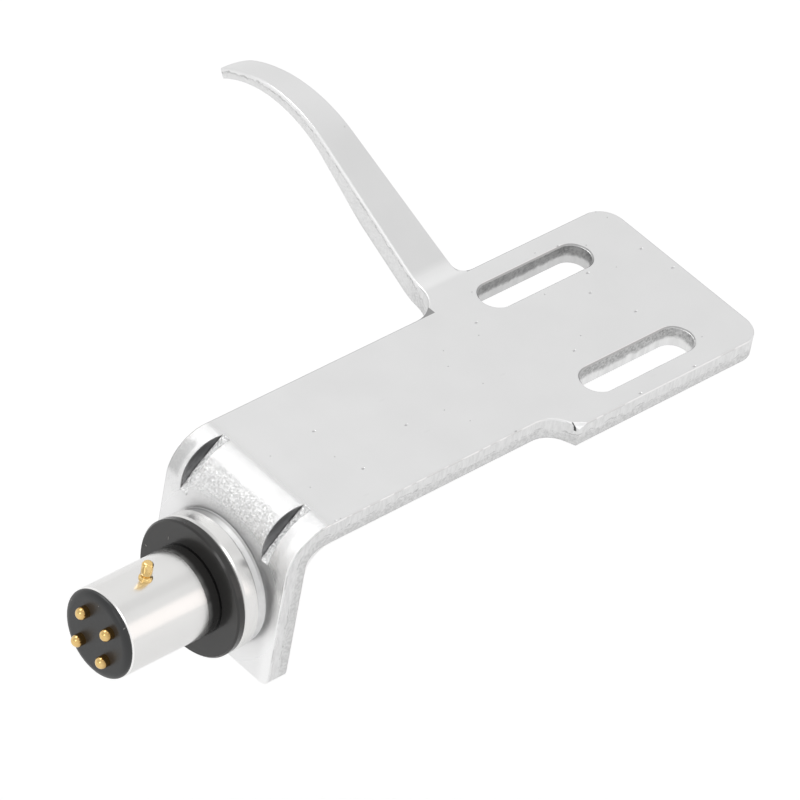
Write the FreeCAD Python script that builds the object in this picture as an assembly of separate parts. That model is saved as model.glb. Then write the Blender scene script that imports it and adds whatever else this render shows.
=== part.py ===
"""Turntable headshell: a pressed aluminium plate and its bayonet plug.

All lengths are millimetres. The plug axis is the X axis, and X points from
the plug to the cartridge end. Y points to the side of the finger lift, Z up.
The origin is where the plug axis meets the front face of the seal washer,
which is the face that an arm's collar draws up against.
"""
import math
import os

import FreeCAD
import Part
from FreeCAD import Vector

# Plate, pressed from one sheet
SHEET = 2.1
PLATE_TOP = 9.3
PLATE_FRONT = 54.85
NECK_WIDTH = 15.1
HEAD_WIDTH = 20.0
HEAD_BACK = 33.0
HEAD_CORNER = 2.2
STEP_ANGLE = 66.5
STEP_ARC_SHARE = 0.61
EDGE_ROLL = 0.15
CORNER_DROP = 0.3
CORNER_REACH = 0.6

# Flange, bent down at the plug end of the plate
FLANGE_BOTTOM = -6.85
FLANGE_CORNER = 0.9
BEND_OUTER = 3.7
BEND_INNER = 2.4

# Slots for the cartridge's two screws
SLOT_PITCH = 12.7
SLOT_WIDTH = 3.2
SLOT_LENGTH = 12.3
SLOT_CENTRE = 43.2

# Darts pressed across the outside of the bend, with ribs inside it
DART_OFFSET = 5.05
DART_SHIFT = 0.18
DART_FLOOR = 0.85
DART_DRAFT = 10.0
DART_OVERRUN = 0.4
RIB_CREST = 0.9
RIB_WALL = 1.9

# Finger lift, one piece with the plate
LIFT_ROOT_CENTRE = 35.75
LIFT_ROOT_WIDTH = 4.3
LIFT_TIP_CENTRE = 36.0
LIFT_TIP_WIDTH = 2.35
LIFT_RISE_ANGLE = 22.3
LIFT_BEND_START = 0.4
LIFT_BEND_RADIUS = 3.0
LIFT_STRAIGHT = 14.1
LIFT_ARCH_RADIUS = 14.5
LIFT_ARCH_ANGLE = 58.0
LIFT_EVEN_LENGTH = 7.0
LIFT_KNEE_SHEET = 1.35
LIFT_CROWN_SHEET = 1.08
LIFT_TIP_SHEET = 0.95
LIFT_TIP_CORNER = 1.9
LIFT_BACK_FILLET = 3.15
LIFT_FRONT_FILLET = 1.2

# Raised seat that the plug's collar stands on
SEAT_HEIGHT = 0.85
SEAT_RADIUS = 6.0
SEAT_FILLET = 0.35
SEAT_DISH_MARGIN = 0.8

# Plug sleeve, turned in one piece with its collar
SLEEVE_DIA = 8.0
SLEEVE_BORE = 6.4
SLEEVE_END = 9.5
SLEEVE_CHAMFER = 0.15
GROOVE_DIA = 7.0
COLLAR_DIA = 12.3
COLLAR_WIDTH = 1.4
COLLAR_CHAMFER = 0.2
SPIGOT_DIA = 9.2
RIVET_DIA = 10.6
RIVET_WIDTH = 0.6

# Seal washer, with the lip that fills the groove
WASHER_DIA = 12.3
WASHER_WIDTH = 0.85
LIP_DIA = 8.0
LIP_WIDTH = 1.3
WASHER_ROUND = 0.15

# Insulator inside the sleeve
CAP_DIA = 7.9
CAP_WIDTH = 0.5
CAP_EDGE_DEEP = 0.4
CAP_EDGE_WIDE = 0.7
TAIL_REACH = 0.5

# Four contact pins
PIN_SPACING = 3.05
PIN_HEAD_DIA = 1.1
PIN_REACH = 1.0
PIN_SHANK_DIA = 0.8
POST_DIA = 1.2
POST_LENGTH = 4.5
POST_CHAMFER = 0.2

# Locating pin that the arm's bayonet slot catches
LOCATOR_DIA = 1.0
LOCATOR_X = -5.3
LOCATOR_HEIGHT = 1.7
LOCATOR_DEPTH = 0.7
LOCATOR_CHAMFER = 0.15

# Sizes that follow from the ones above
COLLAR_FRONT = WASHER_WIDTH
SEAT_FACE = COLLAR_FRONT + COLLAR_WIDTH
FLANGE_OUT = SEAT_FACE + SEAT_HEIGHT
FLANGE_IN = FLANGE_OUT + SHEET
DISH_FLOOR = SEAT_FACE + SHEET
BEND_START = FLANGE_OUT + BEND_OUTER
HALF_NECK = NECK_WIDTH / 2
HALF_HEAD = HEAD_WIDTH / 2
TAIL_END = FLANGE_IN + TAIL_REACH
CAP_FACE = -(SLEEVE_END + CAP_WIDTH)


def unit(degrees):
    """Direction in the drawing plane at this angle from its first axis."""
    return math.cos(math.radians(degrees)), math.sin(math.radians(degrees))


def arc(centre, radius, start, end, place):
    """Edge along a circle from one angle to another, laid out by place."""
    stations = [start, (start + end) / 2, end]
    a, b, c = [
        place(centre[0] + radius * unit(t)[0], centre[1] + radius * unit(t)[1])
        for t in stations
    ]
    return Part.Arc(a, b, c).toShape()


def line(start, end, place):
    return Part.makeLine(place(*start), place(*end))


def on_plan(x, y):
    return Vector(x, y, 0)


def on_side(x, z):
    return Vector(x, 0, z)


def on_front(y, z):
    return Vector(0, y, z)


def face_of(edges):
    return Part.Face(Part.Wire(Part.__sortEdges__(edges)))


def turned(profile):
    """Solid of revolution about the plug axis from (x, radius) points."""
    points = [on_side(x, r) for x, r in profile]
    face = Part.Face(Part.makePolygon(points + points[:1]))
    return face.revolve(Vector(0, 0, 0), Vector(1, 0, 0), 360)


def rounded(outline, radii):
    """Edges of a closed plan outline with each corner rounded by its radius."""
    count = len(outline)
    starts, ends, arcs = [], [], []
    for i, radius in enumerate(radii):
        here = on_plan(*outline[i])
        back = (on_plan(*outline[i - 1]) - here).normalize()
        on = (on_plan(*outline[(i + 1) % count]) - here).normalize()
        half = back.getAngle(on) / 2
        reach = radius / math.tan(half)
        starts.append(here + back * reach)
        ends.append(here + on * reach)
        if radius:
            middle = (back + on).normalize()
            top = here + middle * (radius / math.sin(half) - radius)
            arcs.append(Part.Arc(starts[i], top, ends[i]).toShape())
    lines = [
        Part.makeLine(ends[i], starts[(i + 1) % count]) for i in range(count)
    ]
    return lines + arcs


def lift_span():
    """Y of the lift's root bend, of its arch's start and of its tip."""
    cos_rise, sin_rise = unit(LIFT_RISE_ANGLE)
    bend = HALF_HEAD + LIFT_BEND_START + LIFT_BEND_RADIUS * sin_rise
    arch = bend + LIFT_STRAIGHT * cos_rise
    drop = LIFT_ARCH_ANGLE - LIFT_RISE_ANGLE
    tip = arch + LIFT_ARCH_RADIUS * (sin_rise + unit(drop)[1])
    return bend, arch, tip


def plan_outline():
    """The blank seen from above: neck, head and finger lift."""
    tip = lift_span()[2]
    root = LIFT_ROOT_WIDTH / 2
    end = LIFT_TIP_WIDTH / 2
    root_back = LIFT_ROOT_CENTRE - root
    tip_back = LIFT_TIP_CENTRE - end
    lean = (tip_back - root_back) / (tip - HALF_HEAD)
    run, rise = unit(STEP_ANGLE)
    shoulder = HALF_HEAD - HALF_NECK
    step_reach = STEP_ARC_SHARE * shoulder / rise
    step_fillet = step_reach / math.tan(math.radians(STEP_ANGLE / 2))
    outline = [
        (BEND_START, -HALF_NECK),
        (HEAD_BACK - shoulder * run / rise, -HALF_NECK),
        (HEAD_BACK, -HALF_HEAD),
        (PLATE_FRONT, -HALF_HEAD),
        (PLATE_FRONT, HALF_HEAD),
        (LIFT_ROOT_CENTRE + root, HALF_HEAD),
        (LIFT_TIP_CENTRE + end, tip),
        (tip_back, tip),
        (root_back - shoulder * lean, HALF_NECK),
        (BEND_START, HALF_NECK),
    ]
    radii = [
        0, step_fillet, 0, HEAD_CORNER, HEAD_CORNER,
        LIFT_FRONT_FILLET, 0, 0, LIFT_BACK_FILLET, 0,
    ]
    return face_of(rounded(outline, radii))


def around(centre, radius, degrees):
    """Point on a circle about a centre, at this angle."""
    across, up = unit(degrees)
    return centre[0] + radius * across, centre[1] + radius * up


def lift_profile():
    """Section of plate and lift across the part: flat, bend, rise and arch.

    The under side follows the top at full thickness up to LIFT_EVEN_LENGTH,
    then closes in on it, so the blade is thinnest at its tip.
    """
    rise = LIFT_RISE_ANGLE
    along, up = unit(rise)
    start = HALF_HEAD + LIFT_BEND_START
    hub = (start, PLATE_TOP + LIFT_BEND_RADIUS)
    top_rise = around(hub, LIFT_BEND_RADIUS, rise - 90)
    top_arch = (
        top_rise[0] + LIFT_STRAIGHT * along,
        top_rise[1] + LIFT_STRAIGHT * up,
    )
    crown = around(top_arch, LIFT_ARCH_RADIUS, rise - 90)
    last = 90 + rise - LIFT_ARCH_ANGLE
    top_tip = around(crown, LIFT_ARCH_RADIUS, last)
    low_tip = around(crown, LIFT_ARCH_RADIUS - LIFT_TIP_SHEET, last)
    low_crown = around(
        crown, LIFT_ARCH_RADIUS - LIFT_CROWN_SHEET, (90 + rise + last) / 2
    )
    low_knee = around(crown, LIFT_ARCH_RADIUS - LIFT_KNEE_SHEET, 90 + rise)
    low_rise = around(hub, LIFT_BEND_RADIUS + SHEET, rise - 90)
    low_even = (
        low_rise[0] + LIFT_EVEN_LENGTH * along,
        low_rise[1] + LIFT_EVEN_LENGTH * up,
    )
    floor = PLATE_TOP - SHEET
    far = -HALF_HEAD - SHEET
    edges = [
        line((far, PLATE_TOP), (start, PLATE_TOP), on_front),
        arc(hub, LIFT_BEND_RADIUS, -90, rise - 90, on_front),
        line(top_rise, top_arch, on_front),
        arc(crown, LIFT_ARCH_RADIUS, 90 + rise, last, on_front),
        line(top_tip, low_tip, on_front),
        Part.Arc(
            on_front(*low_tip), on_front(*low_crown), on_front(*low_knee)
        ).toShape(),
        line(low_knee, low_even, on_front),
        line(low_even, low_rise, on_front),
        arc(hub, LIFT_BEND_RADIUS + SHEET, rise - 90, -90, on_front),
        line((start, floor), (far, floor), on_front),
        line((far, floor), (far, PLATE_TOP), on_front),
    ]
    return face_of(edges)


def flat_and_lift():
    """The plan cut out of the section, so both outlines stay true."""
    section = lift_profile().extrude(Vector(PLATE_FRONT + SHEET, 0, 0))
    plan = plan_outline()
    plan.translate(Vector(0, 0, FLANGE_BOTTOM))
    height = PLATE_TOP - FLANGE_BOTTOM + LIFT_ARCH_RADIUS
    return section.common(plan.extrude(Vector(0, 0, height)))


def bend_and_flange():
    """The bend and the flange below it, with the lower corners rounded."""
    outer = (BEND_START, PLATE_TOP - BEND_OUTER)
    inner = (FLANGE_IN + BEND_INNER, PLATE_TOP - SHEET - BEND_INNER)
    edges = [
        line((BEND_START, PLATE_TOP), (inner[0], PLATE_TOP), on_side),
        arc(outer, BEND_OUTER, 90, 180, on_side),
        line((FLANGE_OUT, outer[1]), (FLANGE_OUT, FLANGE_BOTTOM), on_side),
        line((FLANGE_OUT, FLANGE_BOTTOM), (FLANGE_IN, FLANGE_BOTTOM), on_side),
        line((FLANGE_IN, FLANGE_BOTTOM), (FLANGE_IN, inner[1]), on_side),
        arc(inner, BEND_INNER, 180, 90, on_side),
        line((inner[0], PLATE_TOP - SHEET), (inner[0], PLATE_TOP), on_side),
    ]
    face = face_of(edges)
    face.translate(Vector(0, -HALF_NECK, 0))
    solid = face.extrude(Vector(0, NECK_WIDTH, 0))
    corners = [
        edge for edge in solid.Edges
        if abs(edge.CenterOfMass.z - FLANGE_BOTTOM) < 1e-6
        and abs(abs(edge.CenterOfMass.y) - HALF_NECK) < 1e-6
    ]
    return solid.makeFillet(FLANGE_CORNER, corners)


def middle_of(edge):
    return edge.valueAt((edge.FirstParameter + edge.LastParameter) / 2)


def sharp(edge, solid):
    """True where the two faces beside an edge meet at a real corner."""
    normals = []
    for face in solid.ancestorsOfType(edge, Part.Face):
        u, v = face.Surface.parameter(middle_of(edge))
        normals.append(face.normalAt(u, v))
    return len(normals) == 2 and normals[0].getAngle(normals[1]) > 0.5


def outer_top(point):
    """True on the plate's upper face, the bend's outside or the flange's."""
    if point.x > BEND_START - 1e-6:
        return abs(point.z - PLATE_TOP) < 1e-6
    if point.z < PLATE_TOP - BEND_OUTER + 1e-6:
        return abs(point.x - FLANGE_OUT) < 1e-6
    reach = math.hypot(
        point.x - BEND_START, point.z - PLATE_TOP + BEND_OUTER
    )
    return abs(reach - BEND_OUTER) < 1e-4


def tip_corner():
    """Cutter that rounds the lift's front corner at its tip."""
    tip = lift_span()[2]
    front = LIFT_TIP_CENTRE + LIFT_TIP_WIDTH / 2
    radius = LIFT_TIP_CORNER
    reach = 2 * radius
    hub = (front - radius, tip - radius)
    edges = [
        arc(hub, radius, 0, 90, on_plan),
        line((hub[0], tip), (hub[0], tip + reach), on_plan),
        line((hub[0], tip + reach), (front + reach, tip + reach), on_plan),
        line((front + reach, tip + reach), (front + reach, hub[1]), on_plan),
        line((front + reach, hub[1]), (front, hub[1]), on_plan),
    ]
    face = face_of(edges)
    return face.extrude(Vector(0, 0, PLATE_TOP + LIFT_ARCH_RADIUS))


def corner_drop():
    """Wedge of metal that the press drew down off the shoulder's corner."""
    corner = Vector(HEAD_BACK, -HALF_HEAD, PLATE_TOP)
    into = Vector(*unit((180 - STEP_ANGLE) / 2), 0)
    across = Vector(-into.y, into.x, 0)
    low = corner - into * CORNER_REACH - Vector(0, 0, 2 * CORNER_DROP)
    high = corner + into * CORNER_REACH
    above = Vector(0, 0, SHEET)
    profile = Part.Face(Part.makePolygon([
        low, high, high + above, low + above, low,
    ]))
    width = 4 * CORNER_REACH
    profile.translate(across * (-width / 2))
    return profile.extrude(across * width)


def dart_bar(side, floor_width, floor_at, length):
    """Bar along the bend's chord whose section is a drafted channel."""
    out = Vector(-1, 0, 1).normalize()
    along = Vector(1, 0, 1).normalize()
    half = floor_width / 2
    wide = half + SHEET * math.tan(math.radians(DART_DRAFT))
    place = Vector(0, side * DART_OFFSET + DART_SHIFT, 0)
    base = floor_at - along * (length / 2) + place
    section = [
        base + Vector(0, -half, 0),
        base + Vector(0, half, 0),
        base + Vector(0, wide, 0) + out * SHEET,
        base + Vector(0, -wide, 0) + out * SHEET,
    ]
    face = Part.Face(Part.makePolygon(section + section[:1]))
    return face.extrude(along * length)


def with_darts(sheet):
    """Press both darts: a channel outside the bend and a rib inside it."""
    upper = Vector(BEND_START + DART_OVERRUN, 0, PLATE_TOP)
    lower = Vector(FLANGE_OUT, 0, PLATE_TOP - BEND_OUTER - DART_OVERRUN)
    chord = (upper - lower).Length
    floor = (upper + lower) / 2
    crest = floor + Vector(1, 0, -1).normalize() * RIB_WALL
    inside = Part.makeBox(
        PLATE_FRONT, NECK_WIDTH, PLATE_TOP,
        Vector(FLANGE_OUT + SHEET / 2, -HALF_NECK, -SHEET / 2),
    )
    for side in (-1, 1):
        rib = dart_bar(side, RIB_CREST, crest, 2 * chord)
        sheet = sheet.fuse(rib.common(inside))
    for side in (-1, 1):
        sheet = sheet.cut(dart_bar(side, DART_FLOOR, floor, chord))
    return sheet


def slot_cutter(side):
    """Long hole for one cartridge screw."""
    half = SLOT_WIDTH / 2
    left = SLOT_CENTRE - SLOT_LENGTH / 2 + half
    right = SLOT_CENTRE + SLOT_LENGTH / 2 - half
    y = side * SLOT_PITCH / 2
    edges = [
        line((left, y - half), (right, y - half), on_plan),
        arc((right, y), half, -90, 90, on_plan),
        line((right, y + half), (left, y + half), on_plan),
        arc((left, y), half, 90, 270, on_plan),
    ]
    return face_of(edges).extrude(Vector(0, 0, PLATE_TOP + SHEET))


def slot_rim(point):
    """True on the upper rim of one of the two slots."""
    return (
        abs(point.z - PLATE_TOP) < 1e-6
        and abs(point.x - SLOT_CENTRE) < SLOT_LENGTH / 2 + 1e-6
        and abs(abs(point.y) - SLOT_PITCH / 2) < SLOT_WIDTH / 2 + 1e-6
    )


def seat():
    """Boss pressed out of the flange, and the dish that it leaves behind."""
    boss = turned([
        (SEAT_FACE, 0),
        (SEAT_FACE, SEAT_RADIUS - SEAT_FILLET),
        (FLANGE_OUT, SEAT_RADIUS),
        (FLANGE_OUT + SHEET / 2, SEAT_RADIUS),
        (FLANGE_OUT + SHEET / 2, 0),
    ])
    dish_radius = SEAT_RADIUS - SEAT_DISH_MARGIN
    dish = turned([
        (DISH_FLOOR, 0),
        (DISH_FLOOR, dish_radius - SEAT_FILLET),
        (FLANGE_IN, dish_radius),
        (FLANGE_IN + SHEET, dish_radius),
        (FLANGE_IN + SHEET, 0),
    ])
    return boss, dish


def plate():
    """The pressed sheet: plate, bend, flange, darts and finger lift."""
    sheet = flat_and_lift().fuse(bend_and_flange()).removeSplitter()
    rolled = [
        edge for edge in sheet.Edges
        if outer_top(middle_of(edge)) and sharp(edge, sheet)
    ]
    sheet = sheet.makeFillet(EDGE_ROLL, rolled).cut(tip_corner())
    sheet = sheet.cut(corner_drop())
    boss, dish = seat()
    hole = Part.makeCylinder(
        SPIGOT_DIA / 2, 3 * SHEET, Vector(SEAT_FACE - SHEET / 2, 0, 0),
        Vector(1, 0, 0),
    )
    sheet = with_darts(sheet.fuse(boss)).cut(dish).cut(hole)
    for side in (-1, 1):
        sheet = sheet.cut(slot_cutter(side))
    sheet = sheet.removeSplitter()
    rims = [edge for edge in sheet.Edges if slot_rim(middle_of(edge))]
    return sheet.makeChamfer(EDGE_ROLL, rims)


def locator_hole():
    """Round hole down through the sleeve wall and into the insulator."""
    floor = SLEEVE_BORE / 2 - LOCATOR_DEPTH
    return Part.makeCylinder(
        LOCATOR_DIA / 2, SLEEVE_DIA, Vector(LOCATOR_X, 0, floor)
    )


def plug_sleeve():
    """Turned sleeve: bayonet tube, groove, collar and riveted spigot."""
    tube = SLEEVE_DIA / 2
    collar = COLLAR_DIA / 2
    rivet = RIVET_DIA / 2
    body = turned([
        (-SLEEVE_END, 0),
        (-SLEEVE_END, tube - SLEEVE_CHAMFER),
        (-SLEEVE_END + SLEEVE_CHAMFER, tube),
        (-LIP_WIDTH, tube),
        (-LIP_WIDTH, GROOVE_DIA / 2),
        (COLLAR_FRONT, GROOVE_DIA / 2),
        (COLLAR_FRONT, collar - COLLAR_CHAMFER),
        (COLLAR_FRONT + COLLAR_CHAMFER, collar),
        (SEAT_FACE - COLLAR_CHAMFER / 2, collar),
        (SEAT_FACE, collar - COLLAR_CHAMFER / 2),
        (SEAT_FACE, SPIGOT_DIA / 2),
        (DISH_FLOOR, SPIGOT_DIA / 2),
        (DISH_FLOOR, rivet - COLLAR_CHAMFER),
        (DISH_FLOOR + RIVET_WIDTH / 2, rivet - COLLAR_CHAMFER),
        (DISH_FLOOR + RIVET_WIDTH, SPIGOT_DIA / 2),
        (DISH_FLOOR + RIVET_WIDTH, 0),
    ])
    bore = Part.makeCylinder(
        SLEEVE_BORE / 2, SLEEVE_END + FLANGE_IN + SHEET,
        Vector(-SLEEVE_END - SHEET / 2, 0, 0), Vector(1, 0, 0),
    )
    return body.cut(bore).cut(locator_hole())


def seal_washer():
    """Washer against the collar, with a lip that fills the groove."""
    outer = WASHER_DIA / 2
    return turned([
        (-LIP_WIDTH, GROOVE_DIA / 2),
        (-LIP_WIDTH, LIP_DIA / 2),
        (0, LIP_DIA / 2),
        (0, outer - WASHER_ROUND),
        (WASHER_ROUND, outer),
        (WASHER_WIDTH - WASHER_ROUND, outer),
        (WASHER_WIDTH, outer - WASHER_ROUND),
        (WASHER_WIDTH, GROOVE_DIA / 2),
    ])


def pin_places():
    half = PIN_SPACING / 2
    return [(half, half), (-half, half), (half, -half), (-half, -half)]


def insulator():
    """Moulded core of the plug, with a cap over the sleeve's end."""
    cap = CAP_DIA / 2
    core = SLEEVE_BORE / 2
    body = turned([
        (CAP_FACE, 0),
        (CAP_FACE, cap - CAP_EDGE_WIDE),
        (CAP_FACE + CAP_EDGE_DEEP, cap),
        (-SLEEVE_END, cap),
        (-SLEEVE_END, core),
        (TAIL_END, core),
        (TAIL_END, 0),
    ])
    for y, z in pin_places():
        body = body.cut(Part.makeCylinder(
            PIN_SHANK_DIA / 2, TAIL_END - CAP_FACE, Vector(CAP_FACE, y, z),
            Vector(1, 0, 0),
        ))
    return body.cut(locator_hole())


def contact_pin(y, z):
    """Gold pin: domed head, shank, and a post that shoulders on the tail."""
    head = PIN_HEAD_DIA / 2
    shank = PIN_SHANK_DIA / 2
    post = POST_DIA / 2
    crown = CAP_FACE - PIN_REACH + head
    body = turned([
        (crown, 0),
        (crown, head),
        (CAP_FACE, head),
        (CAP_FACE, shank),
        (TAIL_END, shank),
        (TAIL_END, post),
        (TAIL_END + POST_LENGTH - POST_CHAMFER, post),
        (TAIL_END + POST_LENGTH, post - POST_CHAMFER),
        (TAIL_END + POST_LENGTH, 0),
    ])
    dome = Part.makeSphere(head, Vector(crown, 0, 0))
    pin = body.fuse(dome).removeSplitter()
    pin.translate(Vector(0, y, z))
    return pin


def locating_pin():
    """Pin that stands on the sleeve and goes down into the insulator."""
    floor = SLEEVE_BORE / 2 - LOCATOR_DEPTH
    top = SLEEVE_DIA / 2 + LOCATOR_HEIGHT
    pin = Part.makeCylinder(
        LOCATOR_DIA / 2, top - floor, Vector(LOCATOR_X, 0, floor)
    )
    rim = [
        edge for edge in pin.Edges
        if abs(edge.CenterOfMass.z - top) < 1e-6
    ]
    return pin.makeChamfer(LOCATOR_CHAMFER, rim)


def main():
    nodes = {
        "plate": plate(),
        "plug_sleeve": plug_sleeve(),
        "seal_washer": seal_washer(),
        "insulator": insulator(),
        "locating_pin": locating_pin(),
    }
    names = ["upper_left", "upper_right", "lower_left", "lower_right"]
    for name, (y, z) in zip(names, pin_places()):
        nodes["contact_pin_" + name] = contact_pin(y, z)
    os.makedirs("parts", exist_ok=True)
    for name, shape in nodes.items():
        shape.exportStep("parts/" + name + ".step")
        print(name, shape.isValid(), len(shape.Solids),
              round(shape.Volume, 2), shape.BoundBox)


main()
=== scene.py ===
# %% [markdown]
# # A turntable headshell, dressed for the camera
# The solids of the headshell come from its CAD model, which is loaded here as a fixed frame.
# This lesson gives each of them the finish that the real metal, plastic and gold have, and adds
# the few forms that are too fine for the solids: the torn metal in the two darts, the rounded
# nose of the plug's black core, and the ring and groove at the foot of the locating pin.

# %% Load the frame
import math

import bpy
import numpy as np
from mathutils import Matrix, Vector


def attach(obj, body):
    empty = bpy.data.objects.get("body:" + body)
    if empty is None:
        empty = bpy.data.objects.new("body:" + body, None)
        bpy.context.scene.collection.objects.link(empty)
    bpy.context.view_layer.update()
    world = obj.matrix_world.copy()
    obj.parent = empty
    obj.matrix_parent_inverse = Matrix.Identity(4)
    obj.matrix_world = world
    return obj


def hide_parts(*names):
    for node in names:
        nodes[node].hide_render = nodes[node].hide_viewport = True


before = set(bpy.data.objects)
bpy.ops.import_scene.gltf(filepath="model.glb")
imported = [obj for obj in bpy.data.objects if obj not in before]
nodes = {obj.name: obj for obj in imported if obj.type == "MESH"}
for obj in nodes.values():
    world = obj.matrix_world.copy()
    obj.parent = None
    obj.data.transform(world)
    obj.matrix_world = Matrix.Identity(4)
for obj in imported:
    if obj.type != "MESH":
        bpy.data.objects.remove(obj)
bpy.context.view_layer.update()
MM = 0.001
print("solids:", ", ".join(sorted(nodes)))

# %% [markdown]
# ## The camera
# The photograph was taken from behind the plug, high up and a little to the right, with a long
# lens and the camera rolled about eleven degrees. A camera is a place and three directions, so
# its matrix is worked out from yaw, pitch and roll. The lens follows from the focal length in
# pixels: with a 36 mm sensor seen as 800 pixels, millimetres are pixels times 36 / 800. The small
# shift says that the photograph's optical centre isn't quite its middle.

# %% Place the camera
CAMERA_PLACE = Vector((-321.18, -294.49, 397.49)) * MM
CAMERA_YAW, CAMERA_PITCH, CAMERA_ROLL = (math.radians(a) for a in (40.683, -40.618, 10.915))
FOCAL_PIXELS, FRAME_PIXELS = 7206.06, 800
SENSOR_MM = 36
SHIFT_X, SHIFT_Y = 0.00235, 0.00411
CLIP_START = 0.01


def camera_axes(yaw, pitch, roll):
    """Right, up and forward: forward from yaw and pitch, the other two level and then rolled."""
    forward = Vector((math.cos(pitch) * math.cos(yaw), math.cos(pitch) * math.sin(yaw),
                      math.sin(pitch)))
    level_right = Vector((math.sin(yaw), -math.cos(yaw), 0))
    level_up = level_right.cross(forward)
    right = level_right * math.cos(roll) + level_up * math.sin(roll)
    up = level_up * math.cos(roll) - level_right * math.sin(roll)
    return right, up, forward


def placed(first, second, third, place):
    """The matrix whose columns are three directions and a place."""
    rows = [(*row, at) for row, at in zip(zip(first, second, third), place)]
    return Matrix((*rows, (0, 0, 0, 1)))


right, up, forward = camera_axes(CAMERA_YAW, CAMERA_PITCH, CAMERA_ROLL)
lens = bpy.data.cameras.new("photo_camera")
lens.sensor_width = SENSOR_MM
lens.lens = FOCAL_PIXELS / FRAME_PIXELS * lens.sensor_width
lens.shift_x, lens.shift_y = SHIFT_X, SHIFT_Y
lens.clip_start = CLIP_START
camera = bpy.data.objects.new("photo_camera", lens)
camera.matrix_world = placed(right, up, -forward, CAMERA_PLACE)
bpy.context.scene.collection.objects.link(camera)
bpy.context.scene.camera = camera
bpy.context.scene.view_settings.view_transform = "Standard"
print(f"camera {CAMERA_PLACE.length / MM:.0f} mm away, lens {lens.lens:.1f} mm")

# %% [markdown]
# ## Nodes in few words
# A finish is a graph of nodes. These helpers add a node or a few and hand back the output socket,
# so a graph reads like arithmetic. Making a `Finish` starts a material and keeps its surface
# shader. Most of a finish is masks: sockets that are 1 where something holds and 0 elsewhere.

# %% Node helpers


def colour(value):
    """A number is a grey and three numbers are a colour, both made opaque. A socket stays."""
    if isinstance(value, float):
        value = (value, value, value)
    return (*value, 1) if isinstance(value, tuple) else value


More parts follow.
